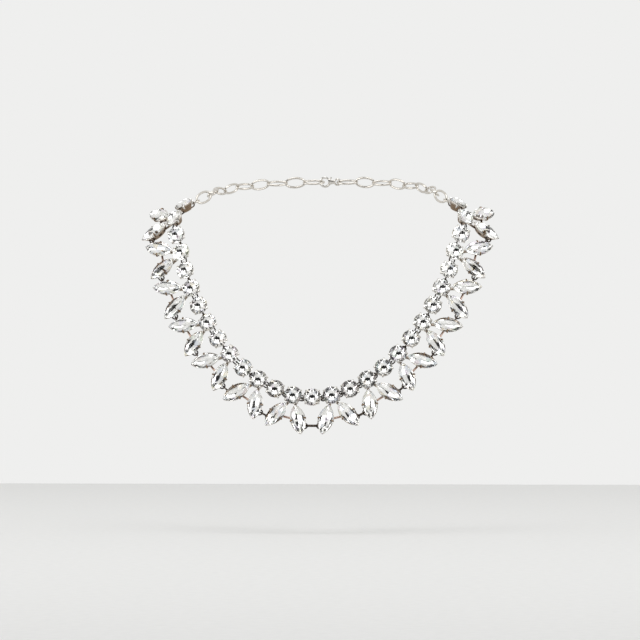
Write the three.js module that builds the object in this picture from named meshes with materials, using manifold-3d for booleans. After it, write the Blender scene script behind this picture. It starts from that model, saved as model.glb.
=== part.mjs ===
// Crystal bib necklace, in millimetres, as it hangs round a neck.
// +X is the viewer's right, +Y points to the back of the neck and +Z is up.
// The origin is the seat on the nape, where the middle of the clasp lies.
//
// Round chatons in claw cups make the inner row. Every second one is the hub of a soldered pair of
// navettes that splay outwards, with a crossbar between them. Wire loops under the cups interlock from
// one link to the next, a spacer link joins each navette to its neighbour in the next pair, and a cable
// chain with a lobster clasp closes the loop behind the neck.
import * as THREE from "three";
import { mergeVertices } from "three/addons/utils/BufferGeometryUtils.js";
import Module from "manifold-3d";

const wasm = await Module();
wasm.setup();

// Stones
const CHATON_DIAMETER = 8.3;
const NAVETTE_LENGTH = 15;
const NAVETTE_WIDTH = 7;
const CROWN_HEIGHT = 1.7;
const CROWN_SLOPE_RUN = 1.75; // from the girdle in to the table

// Cups and claws
const CUP_WALL = 0.4;
const CUP_HEIGHT = 4.2;
const FOOT_INSET = 2.2; // how far the foot stands in from the rim
const SEAT_DEPTH = 0.1; // from the rim up to the stone's girdle
const CLAW_REACH = 0.75; // how far a claw folds in over the girdle
const CLAW_RISE = 1.0;

// Soldered pair
const PAIRS_PER_SIDE = 7;
const SPLAY = THREE.MathUtils.degToRad(27);
const TIP_GAP = 0.35; // hub rim to navette rim
const BAR_HEIGHT = 1.9; // of the arms' and the crossbar's upper face above the foot
const BAR_THICKNESS = 1.0;
const ARM_WIDTH = 1.4;
const CROSSBAR_DROP = 11.2; // from the hub's centre
const CROSSBAR_WIDTH = 0.9;
const SPACER_ALONG = 3.4; // from a navette's centre towards its outer tip
const SPACER_STANDOFF = 2; // from the foot's wall to the spacer's wire in its eyelet

// Wire
const WIRE = 0.7;
const CLEARANCE = 0.3; // between wires that pass through each other
const WIRE_SIDES = 5;
const END_STEPS = 4; // segments in a loop's round end
const OVAL_SIDES = 10;
const OUTLINE_POINTS = 12; // round a cup's rim

// Joints of the inner row: its rims lie close together in front and further apart at the sides
const RIM_GAP_FRONT = 0.35;
const RIM_GAP_SIDE = 1.4;
const JOINTS_TO_SIDE = 6;

// Chain and clasp
const END_RING_BORE = 3.4;
const END_RING_WIRE = 0.8;
const CHAIN_WIRE = 1.2;
const CHAIN_LINK_LENGTH = 12;
const CHAIN_LINK_WIDTH = 6.4;
const CHAIN_SOLDER = 0.42; // how far fused links sink into each other, measured on round wire
const CLASP_LENGTH = 12;
const CLASP_WIDTH = 6.4;
const CLASP_THICKNESS = 1.3;
const CLASP_EYE_BORE = 2.4;
const CLASP_EYE_WALL = 0.9;
const CLASP_HOOK_WALL = 1.4;

// The right half of the line that the loops' joints follow, from the middle of the front to the nape.
// yaw and lift say which way the stones face there: yaw is 0 to the front and 90 to the side.
const ROUTE = [
  { x: 0, y: -105.3, z: -114.5, yaw: 0, lift: 17 },
  { x: 13, y: -104.3, z: -112.4, yaw: 6, lift: 13 },
  { x: 31.6, y: -100.8, z: -102.3, yaw: 10, lift: 16 },
  { x: 45.4, y: -95.4, z: -88.8, yaw: 12, lift: 20 },
  { x: 58, y: -87.8, z: -69.9, yaw: 16, lift: 26 },
  { x: 66.7, y: -79.9, z: -50.2, yaw: 19, lift: 32 },
  { x: 71.2, y: -71.8, z: -32.8, yaw: 27, lift: 40 },
  { x: 75.9, y: -67, z: -22.8, yaw: 42, lift: 45 },
  { x: 71, y: -61, z: -17.7, yaw: 55, lift: 50 },
  { x: 60.1, y: -50, z: -9.7, yaw: 71, lift: 53 },
  { x: 53, y: -30, z: -5.6, yaw: 125, lift: 34 },
  { x: 34, y: -10, z: -1.6, yaw: 152, lift: 26 },
  { x: 0, y: 0, z: 0, yaw: 180, lift: 22 },
];

const SILVER = { color: 0xc9c6c0, roughness: 0.22, metalness: 1 };
const CRYSTAL = { color: 0xe8ebee, roughness: 0.08, metalness: 0.15 };

const cupRadius = CHATON_DIAMETER / 2 + CUP_WALL;
const navetteHalfLength = NAVETTE_LENGTH / 2 + CUP_WALL;
const navetteHalfWidth = NAVETTE_WIDTH / 2 + CUP_WALL;
const tableHeight = CUP_HEIGHT + SEAT_DEPTH + CROWN_HEIGHT;
const loopRadius = WIRE + 2 * CLEARANCE; // of the wire's middle round a loop's end
const loopHeight = loopRadius + WIRE / 2; // of the loops' middles above the foot
const widestPitch = 2 * cupRadius + RIM_GAP_SIDE;
const loopReach = widestPitch / 2 + WIRE + CLEARANCE / 2; // cup's centre to the loop's outer end
const navetteReach = cupRadius + TIP_GAP + navetteHalfLength;

// Solids

function solidOf(geometry) {
  const bare = geometry.clone();
  bare.deleteAttribute("normal");
  bare.deleteAttribute("uv");
  const merged = mergeVertices(bare, 1e-4);
  return new wasm.Manifold(
    new wasm.Mesh({
      numProp: 3,
      vertProperties: new Float32Array(merged.attributes.position.array),
      triVerts: new Uint32Array(merged.index.array),
    }),
  );
}

function geometryOf(solid) {
  const mesh = solid.getMesh();
  const geometry = new THREE.BufferGeometry();
  geometry.setAttribute("position", new THREE.BufferAttribute(mesh.vertProperties, 3));
  geometry.setIndex(new THREE.BufferAttribute(mesh.triVerts, 1));
  const flat = geometry.toNonIndexed();
  flat.computeVertexNormals();
  return flat;
}

function joined(geometries) {
  const solids = geometries.map(solidOf);
  return geometryOf(solids.reduce((whole, next) => whole.add(next)));
}

// A closed body through rings of points, each counter-clockwise seen from above. Neighbouring rings have
// the same number of points, or one has half as many as the other, as a cut stone's table has.
function loft(rings) {
  const faces = [];
  const bottom = rings[0].length;
  for (let i = 2; i < bottom; i++) faces.push(0, i, i - 1);
  let lowerStart = 0;
  for (let level = 1; level < rings.length; level++) {
    const lower = rings[level - 1].length;
    const upper = rings[level].length;
    const upperStart = lowerStart + lower;
    const steps = Math.max(lower, upper);
    const below = (i) => lowerStart + (lower < steps ? Math.ceil(i / 2) : i) % lower;
    const above = (i) => upperStart + (upper < steps ? Math.ceil(i / 2) : i) % upper;
    for (let i = 0; i < steps; i++) {
      if (below(i) !== below(i + 1)) faces.push(below(i), below(i + 1), above(i + 1));
      if (above(i) !== above(i + 1)) faces.push(below(i), above(i + 1), above(i));
    }
    lowerStart = upperStart;
  }
  const top = rings.at(-1).length;
  for (let i = 2; i < top; i++) faces.push(lowerStart, lowerStart + i - 1, lowerStart + i);
  const geometry = new THREE.BufferGeometry().setFromPoints(rings.flat());
  geometry.setIndex(faces);
  return geometry;
}

// Point i of n on a circle, inset from the cup's rim.
function roundOutline(i, n, inset) {
  const angle = (2 * Math.PI * i) / n + Math.PI / OUTLINE_POINTS;
  const radius = cupRadius - inset;
  return [radius * Math.cos(angle), radius * Math.sin(angle)];
}

// Point i of n on a navette: two arcs that meet in a point at each end of X.
function navetteOutline(i, n, inset) {
  const halfLength = navetteHalfLength - inset * 1.5;
  const halfWidth = navetteHalfWidth - inset;
  const arc = (halfLength ** 2 + halfWidth ** 2) / (2 * halfWidth);
  const angle = (2 * Math.PI * i) / n;
  const x = halfLength * Math.cos(angle);
  const y = Math.sqrt(Math.max(arc ** 2 - x ** 2, 0)) - (arc - halfWidth);
  return [x, Math.abs(y) * Math.sign(Math.round(Math.sin(angle) * 1e6))];
}

// A stone fused in its claw cup, with its foot at z = 0 and its table up.
function setStone(outline, isClaw) {
  const ring = (inset, height, n) =>
    Array.from({ length: n }, (_, i) => {
      const [x, y] = outline(i, n, inset);
      return new THREE.Vector3(x, y, height);
    });
  const girdle = Array.from({ length: OUTLINE_POINTS }, (_, i) => {
    const claw = isClaw(i);
    const [x, y] = outline(i, OUTLINE_POINTS, CUP_WALL + (claw ? CLAW_REACH : 0));
    return new THREE.Vector3(x, y, CUP_HEIGHT + (claw ? CLAW_RISE : SEAT_DEPTH));
  });
  return loft([
    ring(FOOT_INSET, 0, OUTLINE_POINTS / 2),
    ring(0, CUP_HEIGHT, OUTLINE_POINTS),
    girdle,
    ring(CUP_WALL + CROWN_SLOPE_RUN, tableHeight, OUTLINE_POINTS / 2),
  ]);
}

const setChaton = () => setStone(roundOutline, (i) => i % 3 === 1);
const setNavette = () => setStone(navetteOutline, (i) => i % 6 === 3);

// A station of a wire: its middle in the XY plane, and the way that the outside of the bend faces there.
const station = (x, y, turn) => ({ x, y, turn });

// The stations of a loop's round end at +X.
function endStations(centreX, radius) {
  return Array.from({ length: END_STEPS + 1 }, (_, i) => {
    const turn = (Math.PI * i) / END_STEPS - Math.PI / 2;
    return station(centreX + radius * Math.cos(turn), radius * Math.sin(turn), turn);
  });
}

// The wire's section at a station: a ring of points, with a corner to the outside of the bend.
function wireSection({ x, y, turn }, wire) {
  return Array.from({ length: WIRE_SIDES }, (_, i) => {
    const around = (2 * Math.PI * i) / WIRE_SIDES;
    const out = (wire / 2) * Math.cos(around);
    const up = (wire / 2) * Math.sin(around);
    return new THREE.Vector3(x + out * Math.cos(turn), y + out * Math.sin(turn), up);
  });
}

function closedWire(stations, wire) {
  const faces = [];
  for (let s = 0; s < stations.length; s++) {
    const here = s * WIRE_SIDES;
    const there = ((s + 1) % stations.length) * WIRE_SIDES;
    for (let i = 0; i < WIRE_SIDES; i++) {
      const j = (i + 1) % WIRE_SIDES;
      faces.push(here + i, there + i, there + j, here + i, there + j, here + j);
    }
  }
  const rings = stations.map((at) => wireSection(at, wire));
  const geometry = new THREE.BufferGeometry().setFromPoints(rings.flat());
  geometry.setIndex(faces);
  return geometry;
}

// A link with straight sides, its wire's middle halfLength and halfWidth from its own.
function longLink(halfLength, halfWidth, wire) {
  const end = endStations(halfLength - halfWidth, halfWidth);
  const otherEnd = end.map(({ x, y, turn }) => station(-x, -y, turn + Math.PI));
  return closedWire([...end, ...otherEnd], wire);
}

// An oval link or a ring, measured in the same way, with flat ends for fused links to meet on.
function ovalLink(halfLength, halfWidth, wire) {
  const step = (2 * Math.PI) / OVAL_SIDES;
  const reach = halfLength / Math.cos(step / 2);
  const stations = Array.from({ length: OVAL_SIDES }, (_, i) => {
    const angle = (i + 0.5) * step;
    const turn = Math.atan2(Math.sin(angle) * reach, Math.cos(angle) * halfWidth);
    return station(reach * Math.cos(angle), halfWidth * Math.sin(angle), turn);
  });
  return closedWire(stations, wire);
}

// A loop with open legs: its wire's middle reaches outer along +X, and its legs start at inner.
function wireStaple(inner, outer) {
  const stations = endStations(outer - loopRadius, loopRadius);
  stations[0].x = inner;
  stations.at(-1).x = inner;
  return loft(stations.map((at) => wireSection(at, WIRE)).reverse());
}

// A loop of wire that stands out along +X from inside a cup to loopReach.
function cupLoop(upright) {
  const legsStart = cupRadius - FOOT_INSET - WIRE;
  const geometry = wireStaple(legsStart, loopReach - WIRE / 2);
  if (upright) geometry.rotateX(Math.PI / 2);
  geometry.translate(0, 0, loopHeight);
  return geometry;
}

function cupLoops(upright) {
  return [cupLoop(upright), cupLoop(upright).rotateZ(Math.PI)];
}

// Half the width of a navette's foot, that far from its middle.
function footHalfWidthAt(along) {
  const halfLength = navetteHalfLength - FOOT_INSET * 1.5;
  const halfWidth = navetteHalfWidth - FOOT_INSET;
  const arc = (halfLength ** 2 + halfWidth ** 2) / (2 * halfWidth);
  return Math.sqrt(arc ** 2 - along ** 2) - (arc - halfWidth);
}

// From the navette's own frame, with its outer tip along +X, to the pair's, with the tips towards -Y.
function navetteFrame(side) {
  const turn = -Math.PI / 2 + side * SPLAY;
  return new THREE.Matrix4()
    .makeRotationZ(turn)
    .multiply(new THREE.Matrix4().makeTranslation(navetteReach, 0, 0));
}

// Where the spacer's wire sits in the eyelet on the pair's right (side 1) or left (side -1).
function eyeletCentre(side) {
  const across = side * (footHalfWidthAt(SPACER_ALONG) + SPACER_STANDOFF);
  return new THREE.Vector3(SPACER_ALONG, across, loopHeight).applyMatrix4(navetteFrame(side));
}

// Pieces

const plainRound = () => joined([setChaton(), ...cupLoops(true)]);

function navettePair() {
  const pieces = [setChaton(), ...cupLoops(false)];
  for (const side of [-1, 1]) {
    const frame = navetteFrame(side);
    const arm = new THREE.BoxGeometry(navetteReach, ARM_WIDTH, BAR_THICKNESS);
    arm.translate(-navetteReach / 2, 0, BAR_HEIGHT - BAR_THICKNESS / 2);
    const eyelet = wireStaple(0, footHalfWidthAt(SPACER_ALONG) + SPACER_STANDOFF + WIRE + CLEARANCE);
    eyelet.rotateZ((side * Math.PI) / 2).translate(SPACER_ALONG, 0, loopHeight);
    for (const piece of [setNavette(), arm, eyelet]) pieces.push(piece.applyMatrix4(frame));
  }
  const crossbar = new THREE.BoxGeometry(
    2 * CROSSBAR_DROP * Math.tan(SPLAY),
    CROSSBAR_WIDTH,
    BAR_THICKNESS,
  );
  crossbar.translate(0, -CROSSBAR_DROP, BAR_HEIGHT - BAR_THICKNESS / 2);
  pieces.push(crossbar);
  return joined(pieces);
}

// A lobster clasp in one piece: the eye at -X, the claw round an opening at +X.
function lobsterClasp() {
  const half = CLASP_LENGTH / 2;
  const eyeRadius = CLASP_EYE_BORE / 2 + CLASP_EYE_WALL;
  const clawRadius = CLASP_WIDTH / 2;
  const eyeX = -half + eyeRadius;
  const clawX = half - clawRadius;
  const shape = new THREE.Shape();
  shape.absarc(clawX, 0, clawRadius, -Math.PI * 0.62, Math.PI * 0.62, false);
  shape.absarc(eyeX, 0, eyeRadius, Math.PI * 0.4, Math.PI * 1.6, false);
  shape.closePath();
  const eye = new THREE.Path();
  eye.absarc(eyeX, 0, CLASP_EYE_BORE / 2, 0, 2 * Math.PI, true);
  const opening = new THREE.Path();
  opening.absarc(clawX, 0, clawRadius - CLASP_HOOK_WALL, 0, 2 * Math.PI, true);
  shape.holes.push(eye, opening);
  const geometry = new THREE.ExtrudeGeometry(shape, {
    depth: CLASP_THICKNESS,
    bevelEnabled: false,
    curveSegments: 8,
  });
  geometry.translate(0, 0, -CLASP_THICKNESS / 2);
  return joined([geometry]);
}

// Layout along the route

function facing({ yaw, lift }) {
  const across = THREE.MathUtils.degToRad(yaw);
  const up = THREE.MathUtils.degToRad(lift);
  return new THREE.Vector3(
    Math.sin(across) * Math.cos(up),
    -Math.cos(across) * Math.cos(up),
    Math.sin(up),
  );
}

const mirrored = (v) => new THREE.Vector3(-v.x, v.y, v.z);
const place = ({ x, y, z }) => new THREE.Vector3(x, y, z);
const leftHalf = ROUTE.slice(1, -1).reverse();
const loopOf = (valueOf) => [...ROUTE.map(valueOf), ...leftHalf.map((row) => mirrored(valueOf(row)))];
const routeCurve = new THREE.CatmullRomCurve3(loopOf(place), true, "centripetal");
const facingCurve = new THREE.CatmullRomCurve3(loopOf(facing), true, "centripetal");
const SAMPLES_PER_ROW = 60;
const samples = [];
for (let i = 0; i <= (ROUTE.length - 1) * SAMPLES_PER_ROW; i++) {
  const at = i / SAMPLES_PER_ROW / (2 * (ROUTE.length - 1));
  const point = routeCurve.getPoint(at);
  const last = samples.at(-1);
  const arc = last ? last.arc + point.distanceTo(last.point) : 0;
  samples.push({ arc, point, facing: facingCurve.getPoint(at) });
}
const halfLoop = samples.at(-1).arc;

// The route's point and facing that far along its right half. Past the nape it goes on up the left.
function routeAt(arc) {
  if (arc > halfLoop) {
    const other = routeAt(2 * halfLoop - arc);
    return { point: mirrored(other.point), facing: mirrored(other.facing) };
  }
  const after = samples.findIndex((s) => s.arc >= arc);
  const b = samples[Math.max(after, 1)];
  const a = samples[Math.max(after, 1) - 1];
  const share = (arc - a.arc) / (b.arc - a.arc);
  return {
    point: a.point.clone().lerp(b.point, share),
    facing: a.facing.clone().lerp(b.facing, share).normalize(),
  };
}

// How far along the route a straight step of that length from start ends.
function stepAlong(start, length) {
  const from = routeAt(start).point;
  let low = start;
  let high = start + length * 2;
  for (let i = 0; i < 40; i++) {
    const middle = (low + high) / 2;
    if (routeAt(middle).point.distanceTo(from) < length) low = middle;
    else high = middle;
  }
  return low;
}

const pitchAt = (link) => {
  const open = Math.min(1, link / JOINTS_TO_SIDE);
  return 2 * cupRadius + RIM_GAP_FRONT + (RIM_GAP_SIDE - RIM_GAP_FRONT) * open;
};
const lastLink = 2 * PAIRS_PER_SIDE;
const frontHalfPitch = pitchAt(0) / 2;
const firstJoint = samples.find((s) => s.point.x >= frontHalfPitch).arc;
const joints = [firstJoint];
for (let link = 1; link <= lastLink; link++) joints.push(stepAlong(joints.at(-1), pitchAt(link)));

// A frame at origin whose X runs along the string and whose Z faces out of it.
function frameOf(origin, along, out) {
  const x = along.clone().normalize();
  const z = out.clone().addScaledVector(x, -out.dot(x)).normalize();
  const y = z.clone().cross(x);
  return new THREE.Matrix4().makeBasis(x, y, z).setPosition(origin);
}

// The same frame on the other side of the necklace, its X still running from left to right.
function mirrorFrame(frame) {
  const x = new THREE.Vector3();
  const y = new THREE.Vector3();
  const z = new THREE.Vector3();
  frame.extractBasis(x, y, z);
  const origin = new THREE.Vector3().setFromMatrixPosition(frame);
  return frameOf(mirrored(origin), mirrored(x).negate(), mirrored(z));
}

// The frame of link k of the inner row, from -lastLink at the left to lastLink at the right.
function linkFrame(k) {
  if (k < 0) return mirrorFrame(linkFrame(-k));
  const end = routeAt(joints[k]);
  const start = k ? routeAt(joints[k - 1]) : { point: mirrored(end.point) };
  const middle = k ? (joints[k] + joints[k - 1]) / 2 : 0;
  const along = end.point.clone().sub(start.point);
  const origin = start.point.clone().add(end.point).multiplyScalar(0.5);
  const frame = frameOf(origin, along, routeAt(middle).facing);
  return frame.multiply(new THREE.Matrix4().makeTranslation(0, 0, -loopHeight));
}

const necklace = new THREE.Group();
const silver = new THREE.MeshStandardMaterial(SILVER);
const crystal = new THREE.MeshStandardMaterial(CRYSTAL);

function addPiece(name, geometry, material, frame) {
  const mesh = new THREE.Mesh(geometry, material);
  mesh.name = name;
  frame.decompose(mesh.position, mesh.quaternion, mesh.scale);
  necklace.add(mesh);
}

const sideName = (k) => (k < 0 ? "left" : "right");

// Inner row, with the pairs on the odd links
const roundGeometry = plainRound();
const pairGeometry = navettePair();
for (let k = -lastLink; k <= lastLink; k++) {
  const number = Math.ceil(Math.abs(k) / 2);
  if (k % 2) addPiece(`navette_pair_${sideName(k)}_${number}`, pairGeometry, crystal, linkFrame(k));
  else if (k) addPiece(`round_stone_${sideName(k)}_${number}`, roundGeometry, crystal, linkFrame(k));
  else addPiece("round_stone_centre", roundGeometry, crystal, linkFrame(k));
}

// Spacer links, each upright through the eyelets of two pairs
for (let k = 1 - lastLink; k < lastLink - 1; k += 2) {
  const left = linkFrame(k);
  const right = linkFrame(k + 2);
  const from = eyeletCentre(1).applyMatrix4(left);
  const to = eyeletCentre(-1).applyMatrix4(right);
  const out = new THREE.Vector3()
    .setFromMatrixColumn(left, 2)
    .add(new THREE.Vector3().setFromMatrixColumn(right, 2));
  const span = to.clone().sub(from);
  const geometry = longLink(span.length() / 2, loopRadius, WIRE).rotateX(Math.PI / 2);
  const middle = from.clone().add(to).multiplyScalar(0.5);
  const gap = (k + 1) / 2;
  const name = gap ? `spacer_link_${sideName(gap)}_${Math.abs(gap)}` : "spacer_link_centre";
  addPiece(name, geometry, silver, frameOf(middle, span, out));
}

// End rings, chains and clasp
const endRingRadius = (END_RING_BORE + END_RING_WIRE) / 2;
const lastJoint = joints.at(-1);
const halfLastPitch = pitchAt(lastLink) / 2;
const ringNear = loopReach - WIRE - CLEARANCE - END_RING_WIRE - halfLastPitch; // past the last joint
const ringMiddle = ringNear + END_RING_WIRE / 2 + endRingRadius;
const ringFarBore = ringNear + END_RING_WIRE + END_RING_BORE;
const chainStart = lastJoint + ringFarBore - CLEARANCE - CHAIN_WIRE;

const alongAt = (arc) =>
  routeAt(arc + 0.5)
    .point.clone()
    .sub(routeAt(arc - 0.5).point);
const routeFrame = (arc) => frameOf(routeAt(arc).point, alongAt(arc), routeAt(arc).facing);

const ringGeometry = ovalLink(endRingRadius, endRingRadius, END_RING_WIRE);
const ringFrame = routeFrame(lastJoint + ringMiddle);
addPiece("end_ring_right", ringGeometry, silver, ringFrame);
addPiece("end_ring_left", ringGeometry, silver, mirrorFrame(ringFrame));

// A run of fused links from one end to the other, along the route. Its first and last links stand
// upright, so that they cross the ring and the clasp.
function chainGeometry(start, end) {
  const span = end - start;
  const nominal = CHAIN_LINK_LENGTH - 2 * CHAIN_WIRE;
  const count = 2 * Math.round((span / nominal - 1) / 2) + 1;
  const pitch = (span - 2 * CHAIN_WIRE + CHAIN_SOLDER) / count;
  const length = pitch + 2 * CHAIN_WIRE - CHAIN_SOLDER;
  const links = Array.from({ length: count }, (_, i) => {
    const halfLength = (length - CHAIN_WIRE) / 2;
    const halfWidth = (CHAIN_LINK_WIDTH - CHAIN_WIRE) / 2;
    const link = ovalLink(halfLength, halfWidth, CHAIN_WIRE);
    if (i % 2 === 0) link.rotateX(Math.PI / 2);
    return link.applyMatrix4(routeFrame(start + length / 2 + i * pitch));
  });
  return joined(links);
}

const eyeMiddle = CLASP_LENGTH / 2 - CLASP_EYE_BORE / 2 - CLASP_EYE_WALL;
const eyeGrip = eyeMiddle + CLASP_EYE_BORE / 2 - 2 * CLEARANCE - CHAIN_WIRE; // from the clasp's middle
const clawGrip = CLASP_LENGTH / 2 - CLASP_HOOK_WALL - 2 * CLEARANCE - CHAIN_WIRE;
const unturned = new THREE.Matrix4();
const mirrorX = new THREE.Matrix4().makeScale(-1, 1, 1);
const leftChain = chainGeometry(chainStart, halfLoop - clawGrip).applyMatrix4(mirrorX);
leftChain.setIndex([...Array(leftChain.attributes.position.count).keys()].reverse());
addPiece("chain_right", chainGeometry(chainStart, halfLoop - eyeGrip), silver, unturned);
addPiece("chain_left", leftChain, silver, unturned);
addPiece("lobster_clasp", lobsterClasp(), silver, routeFrame(halfLoop));

export default necklace;
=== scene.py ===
"""Crystal bib necklace: foiled rounds and navettes in silver-plated claw cups, on wire links."""

import math

import bpy
from mathutils import Matrix, Vector


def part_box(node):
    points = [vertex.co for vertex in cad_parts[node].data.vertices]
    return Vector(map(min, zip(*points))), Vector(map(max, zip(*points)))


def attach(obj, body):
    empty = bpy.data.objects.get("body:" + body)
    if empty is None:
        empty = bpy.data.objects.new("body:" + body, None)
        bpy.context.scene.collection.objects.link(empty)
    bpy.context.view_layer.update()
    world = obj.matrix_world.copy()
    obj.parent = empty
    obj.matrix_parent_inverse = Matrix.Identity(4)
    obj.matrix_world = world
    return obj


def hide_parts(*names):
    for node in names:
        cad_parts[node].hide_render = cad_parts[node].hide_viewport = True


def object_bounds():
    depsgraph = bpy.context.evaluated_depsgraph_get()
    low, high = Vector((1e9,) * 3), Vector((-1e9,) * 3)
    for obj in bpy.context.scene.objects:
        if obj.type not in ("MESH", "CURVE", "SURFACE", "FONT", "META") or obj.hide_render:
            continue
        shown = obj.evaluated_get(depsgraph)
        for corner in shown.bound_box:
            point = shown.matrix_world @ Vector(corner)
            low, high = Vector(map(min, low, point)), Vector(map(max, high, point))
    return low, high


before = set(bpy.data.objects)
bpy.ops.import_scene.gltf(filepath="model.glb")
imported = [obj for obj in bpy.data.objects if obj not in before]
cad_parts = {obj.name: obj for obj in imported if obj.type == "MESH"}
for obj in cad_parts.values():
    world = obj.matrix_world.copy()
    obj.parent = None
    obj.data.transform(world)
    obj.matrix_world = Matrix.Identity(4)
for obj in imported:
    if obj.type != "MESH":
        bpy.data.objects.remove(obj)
cad_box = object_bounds()


# The view: the necklace is seen from the front at the height of its lowest round, a little off its
# middle, from far enough away that the sides stay nearly parallel.
PHOTO_WIDTH = 0.32  # metres across the frame at the centre stone
PHOTO_DISTANCE = 1.8
PHOTO_AZIMUTH = 5.1  # degrees
PHOTO_ELEVATION = 0.2
CENTRE_RIGHT = 0.0038  # from the centre stone to the middle of the frame
CENTRE_UP = 0.0385

low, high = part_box("round_stone_centre")
centre_stone = (Vector(low) + Vector(high)) / 2
azimuth, elevation = math.radians(PHOTO_AZIMUTH), math.radians(PHOTO_ELEVATION)
view_right = Vector((math.cos(azimuth), math.sin(azimuth), 0))
view_back = Vector(
    (
        math.sin(azimuth) * math.cos(elevation),
        -math.cos(azimuth) * math.cos(elevation),
        math.sin(elevation),
    )
)
view_up = view_back.cross(view_right)
aim = centre_stone + view_right * CENTRE_RIGHT + view_up * CENTRE_UP

camera_data = bpy.data.cameras.new("camera")
camera_data.sensor_width = 36
camera_data.lens = camera_data.sensor_width * PHOTO_DISTANCE / PHOTO_WIDTH
camera = bpy.data.objects.new("camera", camera_data)
camera.location = centre_stone + view_back * PHOTO_DISTANCE
camera.rotation_euler = (aim - camera.location).to_track_quat("-Z", "Y").to_euler()
bpy.context.scene.collection.objects.link(camera)
bpy.context.scene.camera = camera


# The plain round stones: machine-cut glass chatons with a silver foil back, in stamped and fluted brass
# cups plated with silver, with four claws pressed over each stone. A loop of wire is soldered under each
# side of a cup, upright, to take the flat loop of the next link.
CHATON = 8.3  # like all the necklace's own sizes, in mm
CUP_WALL = 0.4
CUP_HEIGHT = 4.2
FOOT_INSET = 2.2  # how far the foot stands in from the rim
WIRE = 0.7
CLEARANCE = 0.3  # between wires that pass through each other
RIM_GAP_FRONT = 0.35  # between neighbouring rims
RIM_GAP_SIDE = 1.4
JOINTS_TO_SIDE = 6  # over these the gap between the rims widens
LINKS_PER_SIDE = 14
CUP_RADIUS = CHATON / 2 + CUP_WALL
LOOP_RADIUS = WIRE + 2 * CLEARANCE
LOOP_HEIGHT = LOOP_RADIUS + WIRE / 2  # of a loop's middle above the foot
LOOP_REACH = (2 * CUP_RADIUS + RIM_GAP_SIDE) / 2 + WIRE + CLEARANCE / 2

# The right half of the line that the wire joints follow, and where the stones face there
ROUTE = (
    # x, y and z in mm, yaw and lift in degrees
    (0, -105.3, -114.5, 0, 17),
    (13, -104.3, -112.4, 6, 13),
    (31.6, -100.8, -102.3, 10, 16),
    (45.4, -95.4, -88.8, 12, 20),
    (58, -87.8, -69.9, 16, 26),
    (66.7, -79.9, -50.2, 19, 32),
    (71.2, -71.8, -32.8, 27, 40),
    (75.9, -67, -22.8, 42, 45),
    (71, -61, -17.7, 55, 50),
    (60.1, -50, -9.7, 71, 53),
    (53, -30, -5.6, 125, 34),
    (34, -10, -1.6, 152, 26),
    (0, 0, 0, 180, 22),
)
ROUTE_STEPS = 60  # from one of its points to the next
HALVINGS = 40  # of the stretch in which the end of a straight step is looked for
ROUNDING = 1e-9


def facing(yaw, lift):
    """The way out of the necklace at that yaw, 0 to the front and 90 to the side, and lift."""
    across, up = math.radians(yaw), math.radians(lift)
    return Vector(
        (math.sin(across) * math.cos(up), -math.cos(across) * math.cos(up), math.sin(up))
    )


def mirrored(v):
    return Vector((-v.x, v.y, v.z))


def through(values, at):
    """A smooth closed line through the values, at so many steps from the first."""
    i = int(at)
    share = at - i
    before, near, far, beyond = (values[(i + k) % len(values)] for k in (-1, 0, 1, 2))
    spans = ((before, near), (near, far), (far, beyond))
    back, step, ahead = (math.sqrt((b - a).length) for a, b in spans)
    leaving = ((near - before) / back - (far - before) / (back + step) + (far - near) / step) * step
    arriving = ((far - near) / step - (beyond - near) / (step + ahead) + (beyond - far) / ahead) * step
    bend = 3 * (far - near) - 2 * leaving - arriving
    twist = 2 * (near - far) + leaving + arriving
    return near + leaving * share + bend * share**2 + twist * share**3


def whole_loop(half):
    return half + [mirrored(v) for v in reversed(half[1:-1])]


route_points = whole_loop([Vector(row[:3]) for row in ROUTE])
route_facings = whole_loop([facing(row[3], row[4]) for row in ROUTE])
samples = []
for i in range((len(ROUTE) - 1) * ROUTE_STEPS + 1):
    point = through(route_points, i / ROUTE_STEPS)
    arc = samples[-1][0] + (point - samples[-1][1]).length if samples else 0
    samples.append((arc, point, through(route_facings, i / ROUTE_STEPS)))
HALF_LOOP = samples[-1][0]


def route_at(arc):
    """The line's point and facing that far along its right half, and past the nape up its left."""
    if arc > HALF_LOOP:
        point, out = route_at(2 * HALF_LOOP - arc)
        return mirrored(point), mirrored(out)
    after = max(1, next(i for i, s in enumerate(samples) if s[0] >= arc - ROUNDING))
    (near, near_point, near_out), (far, far_point, far_out) = samples[after - 1], samples[after]
    share = (arc - near) / (far - near)
    return near_point.lerp(far_point, share), near_out.lerp(far_out, share).normalized()


def step_along(start, length):
    """Where along the line a straight step of that length from start ends."""
    here = route_at(start)[0]
    near, far = start, start + 2 * length
    for _ in range(HALVINGS):
        middle = (near + far) / 2
        if (route_at(middle)[0] - here).length < length:
            near = middle
        else:
            far = middle
    return near


def pitch_at(link):
    """The length of that link of the inner row, from joint to joint."""
    opened = min(1, link / JOINTS_TO_SIDE)
    return 2 * CUP_RADIUS + RIM_GAP_FRONT + (RIM_GAP_SIDE - RIM_GAP_FRONT) * opened


joints = [next(s[0] for s in samples if s[1].x >= pitch_at(0) / 2)]
for link in range(1, LINKS_PER_SIDE + 1):
    joints.append(step_along(joints[-1], pitch_at(link)))


def frame_of(origin, along, out):
    """X along the string, Z out of it."""
    x = along.normalized()
    z = (out - x * out.dot(x)).normalized()
    basis = Matrix((x, z.cross(x), z)).transposed().to_4x4()
    return Matrix.Translation(origin) @ basis


def mirror_frame(matrix):
    """The same frame on the other side of the necklace, its X still running from left to right."""
    x, z = matrix.col[0].xyz, matrix.col[2].xyz
    return frame_of(mirrored(matrix.translation), -mirrored(x), mirrored(z))


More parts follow.
